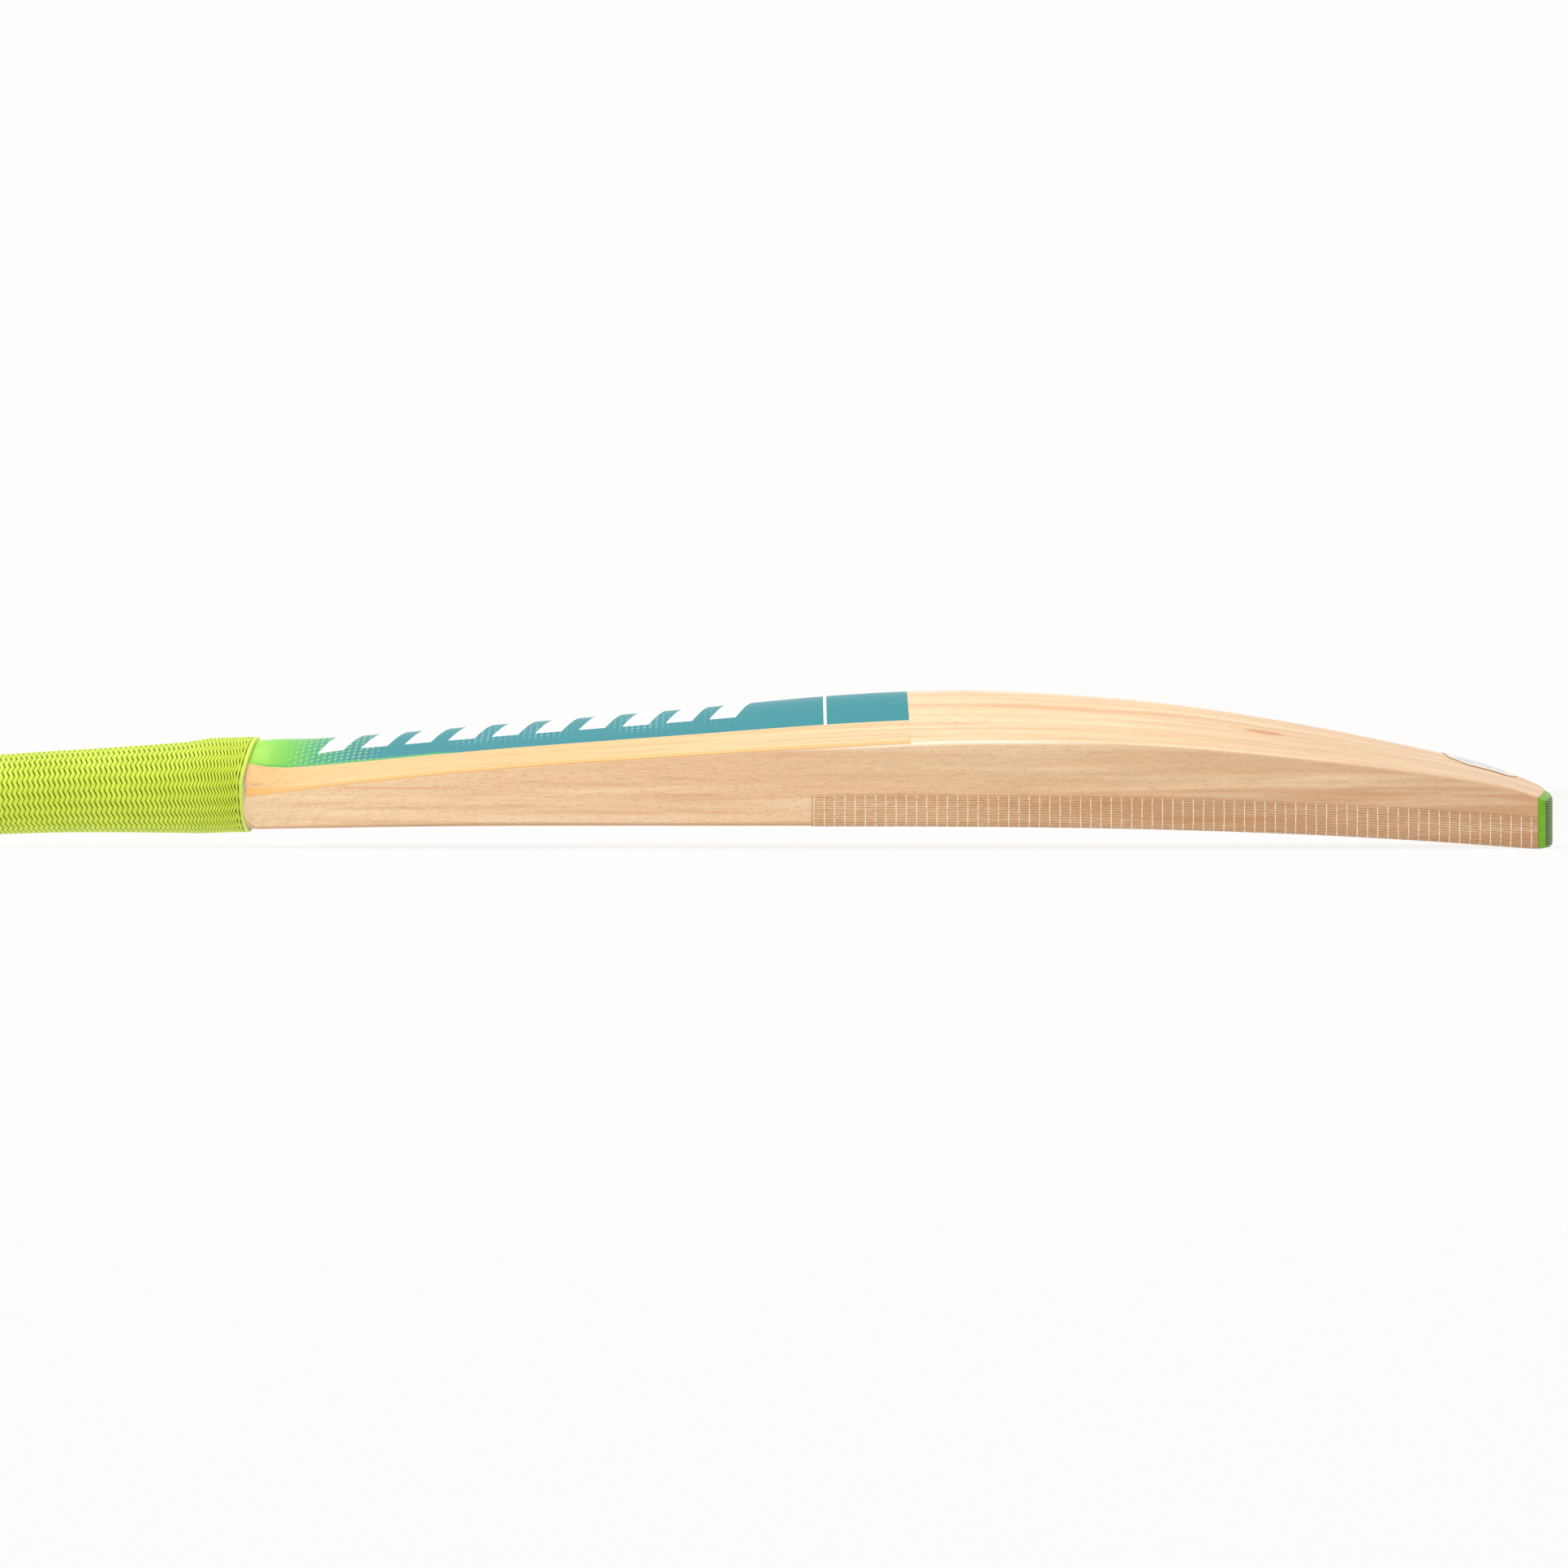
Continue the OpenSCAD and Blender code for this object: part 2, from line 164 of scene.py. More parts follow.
def mesh_object(name, points, faces, slot, material, sharp=None, layers=None):
    """A smooth mesh from places in millimetres. It rides the bat when it has a slot."""
    mesh = bpy.data.meshes.new(name)
    points = np.asarray(points, float).reshape(-1, 3)
    placed = (points - [MIDDLE_X, 0, 0]) * MM
    mesh.from_pydata(placed.tolist(), [], faces)
    mesh.validate()
    for key, values in (layers or {}).items():
        layer = mesh.attributes.new(key, "FLOAT", "POINT")
        layer.data.foreach_set("value", np.asarray(values, np.float32).ravel())
    mesh.polygons.foreach_set("use_smooth", [True] * len(mesh.polygons))
    if sharp:
        mesh.set_sharp_from_angle(angle=math.radians(sharp))
    obj = bpy.data.objects.new(name, mesh)
    bpy.context.scene.collection.objects.link(obj)
    mesh.materials.append(material)
    if slot:
        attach(obj, "root")
    return obj


def grid_faces(rows, cols, loop=False, start=0):
    """Quads of a grid of points. loop joins the last column to the first."""
    faces = []
    for i in range(rows - 1):
        for j in range(cols if loop else cols - 1):
            k = (j + 1) % cols
            a, b = start + i * cols, start + (i + 1) * cols
            faces.append((a + j, b + j, b + k, a + k))
    return faces


def walls(rows, cols):
    """Quads between the border of a grid and the border of a second grid that follows it."""
    border = [i * cols for i in range(rows)] + [(rows - 1) * cols + j for j in range(1, cols)]
    border += [i * cols + cols - 1 for i in range(rows - 2, -1, -1)] + list(range(cols - 2, 0, -1))
    below = rows * cols
    return [(a, a + below, b + below, b) for a, b in zip(border, border[1:] + border[:1])]


# ---------------------------------------------------------------- materials

def rgb(r, g, b):
    def linear(c):
        c /= 255
        return c / 12.92 if c <= 0.04045 else ((c + 0.055) / 1.055) ** 2.4
    return (linear(r), linear(g), linear(b), 1)


def grey(value):
    return (value, value, value, 1)


class Mat:
    """A node material, built by calls that return sockets."""

    def __init__(self, name, roughness=0.5, **sockets):
        self.material = bpy.data.materials.new(name)
        self.material.use_nodes = True
        self.tree = self.material.node_tree
        self.shader = self.tree.nodes["Principled BSDF"]
        self.shader.inputs["Roughness"].default_value = roughness
        for key, value in sockets.items():
            self.shader.inputs[key.replace("_", " ")].default_value = value
        where = self.tree.nodes.new("ShaderNodeTexCoord").outputs["Object"]
        scaled = self.tree.nodes.new("ShaderNodeVectorMath")
        scaled.operation = "SCALE"
        scaled.inputs["Scale"].default_value = 1000
        self.tree.links.new(where, scaled.inputs[0])
        self.place = scaled.outputs[0]
        split = self.tree.nodes.new("ShaderNodeSeparateXYZ")
        self.tree.links.new(self.place, split.inputs[0])
        self.x, self.y, self.z = split.outputs

    def put(self, socket, value):
        if isinstance(value, bpy.types.NodeSocket):
            self.tree.links.new(value, socket)
        else:
            socket.default_value = value

    def math(self, operation, a, b=0.0, clamp=False):
        node = self.tree.nodes.new("ShaderNodeMath")
        node.operation, node.use_clamp = operation, clamp
        self.put(node.inputs[0], a)
        self.put(node.inputs[1], b)
        return node.outputs[0]

    def times(self, *values):
        out = values[0]
        for value in values[1:]:
            out = self.math("MULTIPLY", out, value)
        return out

    def plus(self, a, b):
        return self.math("ADD", a, b)

    def minus(self, a, b):
        return self.math("SUBTRACT", a, b)

    def over(self, a, b):
        return self.math("DIVIDE", a, b)

    def repeat(self, value, pitch):
        """0 halfway through each repeat and 0.5 at its ends."""
        return self.math("ABSOLUTE", self.minus(self.math("FRACT", self.over(value, pitch)), 0.5))

    def between(self, value, low, high, soft):
        """1 where low < value < high, with soft borders."""
        return self.times(self.step(value, low, soft), self.step(value, high, soft, True))

    def step(self, value, at, soft, below=False):
        """Soft step from 0 to 1 at a value, or from 1 to 0 with below."""
        node = self.tree.nodes.new("ShaderNodeMapRange")
        node.interpolation_type = "SMOOTHSTEP"
        end_face_shade = (1.0, 0.0) if below else (0.0, 1.0)
        self.put(node.inputs["Value"], value)
        self.put(node.inputs["From Min"], at - soft)
        self.put(node.inputs["From Max"], at + soft)
        node.inputs["To Min"].default_value, node.inputs["To Max"].default_value = end_face_shade
        return node.outputs["Result"]

    def scaled(self, sx, sy, sz, offset=0.0):
        """Place in the pattern: millimetres times a scale in each direction."""
        node = self.tree.nodes.new("ShaderNodeMapping")
        node.inputs["Scale"].default_value = (sx, sy, sz)
        node.inputs["Location"].default_value = (offset, offset, offset)
        self.put(node.inputs["Vector"], self.place)
        return node.outputs[0]

    def noise(self, place, detail=3.0, roughness=0.5):
        node = self.tree.nodes.new("ShaderNodeTexNoise")
        self.put(node.inputs["Vector"], place)
        for key, value in (("Scale", 1.0), ("Detail", detail), ("Roughness", roughness)):
            node.inputs[key].default_value = value
        return node.outputs["Fac"]

    def voronoi(self, place):
        node = self.tree.nodes.new("ShaderNodeTexVoronoi")
        self.put(node.inputs["Vector"], place)
        node.inputs["Scale"].default_value = 1.0
        return node.outputs["Distance"], node.outputs["Color"]

    def layer(self, name):
        node = self.tree.nodes.new("ShaderNodeAttribute")
        node.attribute_name = name
        return node.outputs["Fac"]

    def ramp(self, value, stops):
        node = self.tree.nodes.new("ShaderNodeValToRGB")
        elements = node.color_ramp.elements
        while len(elements) < len(stops):
            elements.new(0.5)
        for element, (at, colour) in zip(elements, stops):
            element.position = at
            element.color = colour
        self.put(node.inputs["Fac"], value)
        return node.outputs["Color"]

    def mix(self, share, a, b, blend="MIX"):
        node = self.tree.nodes.new("ShaderNodeMix")
        node.data_type, node.blend_type = "RGBA", blend
        # this node's colours go in at sockets 6 and 7 and come out at socket 2
        self.put(node.inputs[0], share)
        self.put(node.inputs[6], a)
        self.put(node.inputs[7], b)
        return node.outputs[2]

    def along(self, x0, x1):
        """0 at x0 and 1 at x1 along the bat, both measured from the neck."""
        return self.math("DIVIDE", self.math("SUBTRACT", self.x, x0 - MIDDLE_X), x1 - x0, True)

    def place_grain(self, y, z):
        """Replaces the sideways and upward coordinates that patterns are placed by."""
        node = self.tree.nodes.new("ShaderNodeCombineXYZ")
        for i, value in enumerate((self.x, y, z)):
            self.tree.links.new(value, node.inputs[i])
        self.place = node.outputs[0]

    def facing_up(self):
        node = self.tree.nodes.new("ShaderNodeNewGeometry")
        split = self.tree.nodes.new("ShaderNodeSeparateXYZ")
        self.tree.links.new(node.outputs["Normal"], split.inputs[0])
        return split.outputs["Z"]

    def finish(self, colour, height=None, depth=0.0001):
        """Connects the colour and, with a height, bumps that are depth metres high."""
        self.put(self.shader.inputs["Base Color"], colour)
        if height is not None:
            bump = self.tree.nodes.new("ShaderNodeBump")
            bump.inputs["Distance"].default_value = depth
            bump.inputs["Strength"].default_value = 1.0
            self.put(bump.inputs["Height"], height)
            self.put(self.shader.inputs["Normal"], bump.outputs[0])
        return self.material


def shade(m, colour, value, dark, light):
    """Multiplies colour by a grey between dark and light."""
    tint = m.ramp(value, [(0.0, grey(dark)), (1.0, grey(light))])
    return m.mix(1.0, colour, tint, "MULTIPLY")


# partly the willow's own tone, partly painted light and shade: the back lighter than the sides, and the
# sides darker towards the toe
SIDE_TONES_AND_SHADE = [(0.0, rgb(243, 208, 166)), (0.3, rgb(232, 192, 149)), (0.52, rgb(226, 187, 144)),
              (0.66, rgb(213, 172, 129)), (0.8, rgb(206, 165, 125)), (1.0, rgb(198, 157, 117))]
BACK_TONES_AND_LIGHT = [(0.0, rgb(240, 205, 155)), (0.5, rgb(240, 208, 163)), (0.62, rgb(238, 200, 154)),
              (0.75, rgb(230, 195, 150)), (1.0, rgb(214, 175, 133))]


def willow_colour(m):
    """Wood colour with painted light and shade, the fibre pattern in it, and a mask of the faces that look
    up.
    """
    # the grain fans out with the shoulders
    shoulder_share = m.math("POWER", m.along(0, SHOULDER_LEN), SHOULDER_POWER)
    turn = m.math("SINE", m.times(shoulder_share, math.pi / 2))
    spread = m.times(turn, turn, (HALF_WIDTH - NECK_HALF_WIDTH) / HALF_WIDTH)
    on_back = m.step(m.facing_up(), 0.5, 0.3)
    height = m.times(m.z, m.minus(1.0, m.times(on_back, 0.88)))
    m.place_grain(m.over(m.y, m.plus(spread, NECK_HALF_WIDTH / HALF_WIDTH)), height)
    along = m.along(0, BLADE_LEN)
    # painted light: faces that look up take the lighter back tones, the sides the shaded side tones
    side, back = m.ramp(along, SIDE_TONES_AND_SHADE), m.ramp(along, BACK_TONES_AND_LIGHT)
    colour = m.mix(on_back, side, back)
    # growth lines, which wander a little, and broad streaks along the blade
    wander = m.times(m.noise(m.scaled(0.004, 0.02, 0.02), 4.0), 70.0)
    ring_place = m.plus(m.plus(m.y, m.times(height, 0.55)), wander)
    ring = m.math("FRACT", m.over(ring_place, 13.0))
    ring_line = m.ramp(ring, [(0.0, grey(0)), (0.66, grey(0.1)), (0.93, grey(1)),
                              (1.0, grey(0))])
    fading = m.ramp(m.noise(m.scaled(0.006, 0.05, 0.05, 7.0), 2.0),
                    [(0.4, grey(0.05)), (0.62, grey(1))])
    strong = m.times(ring_line, fading, m.plus(0.2, m.times(on_back, 0.3)))
    colour = m.mix(strong, colour, rgb(210, 138, 84))
    streaks = m.noise(m.scaled(0.008, 0.28, 0.28, 4.0), 6.0, 0.7)
    colour = m.mix(m.ramp(streaks, [(0.5, grey(0)), (0.68, grey(0.6))]), colour,
                   rgb(208, 146, 96))
    pale = m.noise(m.scaled(0.007, 0.2, 0.2, 9.0), 4.0)
    colour = m.mix(m.ramp(pale, [(0.5, grey(0)), (0.7, grey(0.5))]), colour,
                   rgb(252, 226, 188))
    # greyer willow under the upper edge, from the middle of the blade on
    ragged_z = m.plus(m.z, m.times(m.noise(m.scaled(0.01, 0.05, 0.05, 2.0), 2.0), 6.0))
    greyer = m.times(m.step(ragged_z, 33.5, 5.0), m.step(along, 0.44, 0.06), m.minus(1.0, on_back))
    colour = m.mix(m.times(greyer, 0.5), colour, rgb(220, 186, 146))
    fibre = m.noise(m.scaled(0.09, 2.2, 2.2, 2.0), 5.0, 0.75)
    colour = shade(m, colour, m.ramp(fibre, [(0.32, grey(0)), (0.68, grey(1))]), 0.9, 1.05)
    pores = m.noise(m.scaled(0.4, 5.0, 5.0, 6.0), 2.0, 0.5)
    colour = m.mix(m.ramp(pores, [(0.56, grey(0)), (0.72, grey(0.6))]), colour,
                   rgb(184, 128, 82))
    ticks = m.noise(m.scaled(2.6, 0.5, 0.5, 3.0), 2.0, 0.5)
    colour = shade(m, colour, m.ramp(ticks, [(0.36, grey(0)), (0.64, grey(1))]), 0.965, 1.03)
    return colour, fibre, on_back


def willow():
    m = Mat("willow_wood", 0.42, Coat_Weight=0.12, Coat_Roughness=0.25)
    colour, fibre, on_back = willow_colour(m)
    # knots and flecks: short dark strokes along the grain, few on the sides
    cell, tint = m.voronoi(m.scaled(0.03, 0.16, 0.16, 3.0))
    spot = m.times(m.step(cell, 0.16, 0.06, True), m.step(tint, 0.8, 0.03))
    colour = m.mix(m.times(spot, m.plus(0.1, m.times(on_back, 0.35))),
                   colour, rgb(176, 110, 62))
    # one small knot on the back, with reddish grain trailing from it
    swing = m.times(m.noise(m.scaled(0.012, 0.0, 0.0, 6.0), 2.0), 12.0)
    off = m.math("ABSOLUTE", m.plus(m.plus(m.y, 15.0), swing))
    trail = m.times(m.step(off, 1.6, 1.6, True), m.between(m.along(0, 1000), 0.32, 0.47, 0.05), on_back)
    colour = m.mix(m.times(trail, 0.45), colour, rgb(206, 138, 86))
    dx = m.over(m.minus(m.x, 443 - MIDDLE_X), 9.0)
    dy = m.over(m.plus(m.y, 27.0), 2.6)
    knot = m.plus(m.times(dx, dx), m.times(dy, dy))
    knot = m.plus(knot, m.times(m.noise(m.scaled(0.3, 0.9, 0.9), 3.0), 1.6))
    colour = m.mix(m.times(m.step(knot, 1.5, 0.9, True), m.times(on_back, 0.8)),
                   colour, rgb(196, 120, 66))
    # a painted highlight along the upper corners, a few brown nicks, and painted shade as a darker line
    # along the lower corner
    corner = m.layer("edge")
    corner_highlight_span = m.between(m.along(0, BLADE_LEN), 0.45, 0.62, 0.06)
    colour = m.mix(m.times(m.times(corner, corner_highlight_span), 0.8), colour, rgb(255, 240, 215))
    brown = m.noise(m.scaled(0.12, 0.4, 0.4, 1.0), 3.0)
    nick = m.times(corner, m.step(brown, 0.72, 0.03))
    colour = m.mix(m.times(nick, 0.6), colour, rgb(150, 96, 52))
    # painted shade: a darker line along the rounded lower corner
    low = m.layer("lower_corner_shade")
    colour = m.mix(m.times(low, 0.45), colour, rgb(170, 112, 66))
    return m.finish(colour, fibre, 0.00008)


def cane():
    m = Mat("cane_wood", 0.5)
    fibre = m.noise(m.scaled(0.05, 2.4, 2.4), 4.0, 0.6)
    colour = m.ramp(fibre, [(0.3, rgb(178, 138, 84)), (0.55, rgb(221, 184, 126)),
                            (0.8, rgb(236, 206, 152))])
    cell, _ = m.voronoi(m.scaled(0.02, 1.6, 1.6, 5.0))
    colour = m.mix(m.times(m.step(cell, 0.2, 0.08, True), 0.6), colour, rgb(112, 74, 38))
    return m.finish(colour, fibre, 0.00012)


def spring_rubber():
    m = Mat("spring_rubber", 0.75)
    grain = m.noise(m.scaled(2.0, 2.0, 2.0), 3.0)
    return m.finish(m.ramp(grain, [(0.3, rgb(28, 27, 26)), (0.8, rgb(58, 55, 52))]), grain, 0.00005)


def twine():
    m = Mat("waxed_twine", 0.6, Sheen_Weight=0.3)
    turn = m.math("FRACT", m.over(m.x, 0.9))
    ridge = m.math("SINE", m.times(turn, math.pi))
    twist = m.math("FRACT", m.plus(m.over(m.x, 0.9), m.over(m.z, 1.4)))
    # painted shade: the colour darkens into the crease between turns of twine
    tone = m.times(ridge, m.plus(0.7, m.times(twist, 0.3)))
    colour = m.ramp(tone, [(0.0, rgb(150, 134, 100)), (0.5, rgb(220, 209, 178)),
                           (1.0, rgb(240, 232, 208))])
    return m.finish(colour, ridge, 0.0003)


def cloth_tape():
    m = Mat("cloth_tape", 0.8, Sheen_Weight=0.2)
    warp = m.math("SINE", m.times(m.x, 9.0))
    weft = m.math("SINE", m.times(m.plus(m.y, m.z), 9.0))
    weave = m.times(warp, weft)
    soft = m.noise(m.scaled(0.4, 0.4, 0.4), 3.0)
    cloth = m.ramp(weave, [(0.0, rgb(206, 196, 182)), (1.0, rgb(243, 236, 226))])
    colour = shade(m, cloth, soft, 0.85, 1.05)
    return m.finish(colour, weave, 0.00006)


def grip_rubber():
    m = Mat("grip_rubber", 0.42, Specular_IOR_Level=0.4)
    depth, leg_shade = m.layer("depth"), m.layer("leg_shade")
    tone = m.noise(m.scaled(0.05, 0.12, 0.12), 3.0)
    top = m.ramp(tone, [(0.3, rgb(202, 222, 56)), (0.7, rgb(214, 232, 68))])
    # painted shade: the grooves darken with their depth, and those on one leg of each chevron far more than
    # the other's, as if lit from one side
    groove = m.mix(leg_shade, rgb(132, 162, 16), rgb(52, 76, 4))
    crest = m.mix(m.times(m.layer("lip"), 0.6), top, rgb(212, 228, 110))
    colour = m.mix(m.ramp(depth, [(0.08, grey(0)), (0.6, grey(1))]), crest, groove)
    grain = m.noise(m.scaled(4.0, 4.0, 4.0), 2.0)
    return m.finish(colour, grain, 0.00004)


def guard_rubber():
    m = Mat("guard_rubber", 0.5, Specular_IOR_Level=0.4)
    tone = m.noise(m.scaled(0.2, 0.08, 0.3), 4.0)
    side = m.ramp(tone, [(0.3, rgb(104, 156, 20)), (0.7, rgb(120, 172, 32))])
    end = m.ramp(tone, [(0.3, rgb(70, 118, 14)), (0.7, rgb(86, 134, 22))])
    # painted shade: the flat front face darker than the rounded rim, and the grooves in it near black
    colour = m.mix(m.layer("end"), side, end)
    colour = m.mix(m.layer("depth"), colour, rgb(16, 40, 4))
    return m.finish(colour, m.noise(m.scaled(3.0, 3.0, 3.0), 2.0), 0.00003)


def face_film():
    m = Mat("face_film", 0.4, Coat_Weight=0.1, Coat_Roughness=0.3)
    colour, fibre, _ = willow_colour(m)
    colour = m.mix(1.0, colour, rgb(248, 242, 234), "MULTIPLY")
    girth = m.layer("girth")
    thread = m.step(m.repeat(girth, 1.05), 0.25, 0.12)
    broken = m.ramp(m.noise(m.scaled(0.35, 1.0, 1.0), 2.0), [(0.3, grey(0.4)), (0.7, grey(0.95))])
    colour = m.mix(m.times(thread, broken), colour, rgb(166, 120, 78))
    return m.finish(colour, thread, 0.00005)


def glass_yarn():
    m = Mat("glass_yarn", 0.45)
    speck = m.noise(m.scaled(0.8, 1.2, 1.2), 3.0, 0.7)
    colour = m.ramp(speck, [(0.36, rgb(206, 168, 126)), (0.48, rgb(244, 228, 206)),
                            (0.7, rgb(255, 250, 240))])
    return m.finish(colour, speck, 0.00004)


def diamonds(m, pitch_x, pitch_y, size):
    """1 inside a lattice of small diamonds whose size is a socket or number."""
    reach = m.plus(m.repeat(m.x, pitch_x), m.repeat(m.y, pitch_y))
    return m.step(m.minus(size, reach), 0.0, 0.05)


LIME, DEEP_TEAL, WHITE = rgb(164, 222, 78), rgb(0, 133, 142), rgb(246, 247, 243)
FADE = [(0.05, LIME), (0.3, rgb(112, 196, 84)), (0.52, rgb(48, 160, 124)), (0.8, DEEP_TEAL)]


def back_print():
    m = Mat("back_print", 0.34, Specular_IOR_Level=0.25, Coat_Weight=0.12, Coat_Roughness=0.12)
    share = m.layer("share")
    colour = m.ramp(m.along(4, 64), FADE)
    mottle = m.noise(m.scaled(0.02, 0.05, 0.05), 3.0)
    colour = shade(m, colour, mottle, 0.94, 1.05)
    x = m.plus(m.x, MIDDLE_X)
    # yellow-green dots where lime turns teal
    near = m.between(x, 20, 62, 10.0)
    dots = diamonds(m, 2.6, 3.4, m.times(near, 0.34))
    colour = m.mix(m.times(dots, 0.55), colour, rgb(176, 220, 70))
    # pale dots in patches along the border of the print
    side = m.math("ABSOLUTE", m.y)
    patch = m.ramp(m.noise(m.scaled(0.022, 0.0, 0.0, 5.0), 1.0), [(0.42, grey(0)), (0.56, grey(1))])
    far = m.times(m.between(x, 84, 214, 14.0), m.between(side, 9, 27, 5.0), patch)
    dots = diamonds(m, 2.6, 2.8, m.times(far, 0.36))
    colour = m.mix(m.times(dots, 0.45), colour, rgb(176, 214, 214))
    # plain slanted bars and one cross stripe
    slant = m.minus(x, m.times(m.y, 0.35))
    bar = m.step(m.repeat(m.minus(slant, 38), 18.8), 0.3, 0.015, True)
    bars = m.times(bar, m.between(slant, 38, 226, 0.1), m.step(side, 20.5, 0.15, True))
    stripe = m.between(x, 253, 254.3, 0.12)
    colour = m.mix(m.math("MAXIMUM", bars, stripe), colour, WHITE)
    # greener along the print's border near the neck
    green = m.times(m.between(x, 8, 92, 6.0), m.step(share, PRINT_SHARE - 0.035, 0.008))
    colour = m.mix(m.times(green, 0.8), colour, rgb(88, 184, 96))
    # clear varnish strip beside the print: the willow shows through, warmer
    wood, _, _ = willow_colour(m)
    clear = m.mix(0.6, wood, rgb(248, 206, 140), "MULTIPLY")
    clear = m.mix(0.5, clear, rgb(246, 206, 146))
    clear = m.mix(m.times(m.along(140, 280), 0.8), clear, wood)
    rim = m.step(share, 0.955, 0.015)
    clear = m.mix(m.times(rim, 0.5), clear, rgb(240, 176, 80))
    colour = m.mix(m.step(share, PRINT_SHARE, 0.004), colour, clear)
    return m.finish(colour, mottle, 0.00002)


def toe_print():
    m = Mat("toe_print", 0.25, Coat_Weight=0.4, Coat_Roughness=0.1)
    wood, fibre, _ = willow_colour(m)
    colour = m.mix(0.55, wood, rgb(236, 216, 204))
    x = m.plus(m.x, MIDDLE_X)
    bar = m.step(m.repeat(m.plus(x, m.y), 9.0), 0.3, 0.03, True)
    side = m.math("ABSOLUTE", m.y)
    marks = m.times(bar, m.step(side, 18.0, 0.3, True), m.between(x, 528, 549, 0.3))
    colour = m.mix(m.times(marks, 0.9), colour, rgb(110, 176, 204))
    colour = m.mix(m.times(m.layer("border"), 0.7), colour, rgb(120, 96, 78))
    return m.finish(colour, fibre, 0.00002)


def face_print():
    m = Mat("face_print", 0.28, Coat_Weight=0.5, Coat_Roughness=0.1)
    colour = m.ramp(m.along(52, 100), FADE)
    mottle = m.noise(m.scaled(0.02, 0.05, 0.05), 3.0)
    x = m.plus(m.x, MIDDLE_X)
    near = m.between(x, 58, 104, 12.0)
    dots = diamonds(m, 4.5, 4.5, m.times(near, 0.4))
    colour = m.mix(m.times(dots, 0.55), colour, rgb(176, 220, 70))
    side = m.math("ABSOLUTE", m.y)
    lines = m.math("MAXIMUM", m.between(x, 130, 131.5, 0.12), m.between(side, 22.6, 23.6, 0.12))
    colour = m.mix(lines, shade(m, colour, mottle, 0.94, 1.05), WHITE)
    return m.finish(colour, mottle, 0.00002)


def pale_floor():
    """A softly lit table top: part of its light is its own, so the bat casts only a faint shadow."""
    m = Mat("pale_floor", 0.9, Specular_IOR_Level=0.0, Emission_Strength=0.88)
    m.shader.inputs["Emission Color"].default_value = (0.985, 0.978, 0.97, 1)
    tone = m.noise(m.scaled(0.002, 0.002, 0.002), 2.0)
    return m.finish(m.ramp(tone, [(0.0, (0.095, 0.094, 0.093, 1)), (1.0, (0.1, 0.099, 0.098, 1))]))


# ---------------------------------------------------------------- willow blade

ring = outline()
part, share = ring[:, 0], ring[:, 1]
shoulder = lengthways(0, SHOULDER_LEN, np.linspace(0, 1, 27), ring)
body = lengthways(SHOULDER_LEN, TOE_ROWS_START, np.linspace(0, 1, 91)[1:], ring)
toe = lengthways(TOE_ROWS_START, BLADE_LEN - GUARD_T, np.linspace(0, 1, 37)[1:], ring, to_toe=True)
half = np.concatenate([shoulder, body, toe])
grid = mirrored(half, True)
rows, cols = grid.shape[:2]
faces = grid_faces(rows, cols, True)
# the two ends are closed by quads between the left and the right half
for end in (0, rows - 1):
    for j in range(len(ring) - 1):
        left = [end * cols + (cols - j) % cols, end * cols + (cols - j - 1) % cols]
        right = [end * cols + j + 1, end * cols + j]
        quad = left + right
        quad = [v for i, v in enumerate(quad) if v not in quad[:i]]
        if len(quad) > 2:
            faces.append(tuple(quad if end else quad[::-1]))


def ring_layer(values):
    """Values for half a ring, repeated for the other half and for every ring."""
    one = np.concatenate([values, values[::-1][1:-1]])
    return np.tile(one, rows)


# upper corners: marked for a painted highlight and for the nicks
edge_mark = np.where(part == BEVEL, np.where((share > 0) & (share < 1), 1.0, 0.6), 0.0)
# lower corner: marked for a painted shade line
corner_shade_mark = np.where((part == CORNER) & (share < 0.7), 1.0, 0.0)
willow_mat = willow()
blade = mesh_object("willow_blade", grid, faces, None, willow_mat,
                    layers={"edge": ring_layer(edge_mark), "lower_corner_shade": ring_layer(corner_shade_mark)})
# the V socket is cut by a prism that is longer and higher than the blade at the neck
half_splice = [(SPLICE_LEN, SPLICE_TIP_HALF_WIDTH), (0, SPLICE_HALF_WIDTH), (-5, SPLICE_HALF_WIDTH)]
splice = [(x, -y) for x, y in half_splice[::-1]] + half_splice
prism = [(x, y, z) for z in (-10, 90) for x, y in splice]
prism_faces = [(i, (i + 1) % 6, (i + 1) % 6 + 6, i + 6) for i in range(6)]
prism_faces += [tuple(range(5, -1, -1)), tuple(range(6, 12))]
cutter = mesh_object("splice_cutter", prism, prism_faces, None, willow_mat)
cut = blade.modifiers.new("splice", "BOOLEAN")
cut.object, cut.operation, cut.solver = cutter, "DIFFERENCE", "EXACT"
bpy.context.view_layer.update()
socketed = bpy.data.meshes.new_from_object(blade.evaluated_get(bpy.context.evaluated_depsgraph_get()))
blade.modifiers.clear()
blade.data = socketed
bpy.data.objects.remove(cutter)
socketed.set_sharp_from_angle(angle=math.radians(40))
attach(blade, "root")
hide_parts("blade")

# ---------------------------------------------------------------- films on the blade


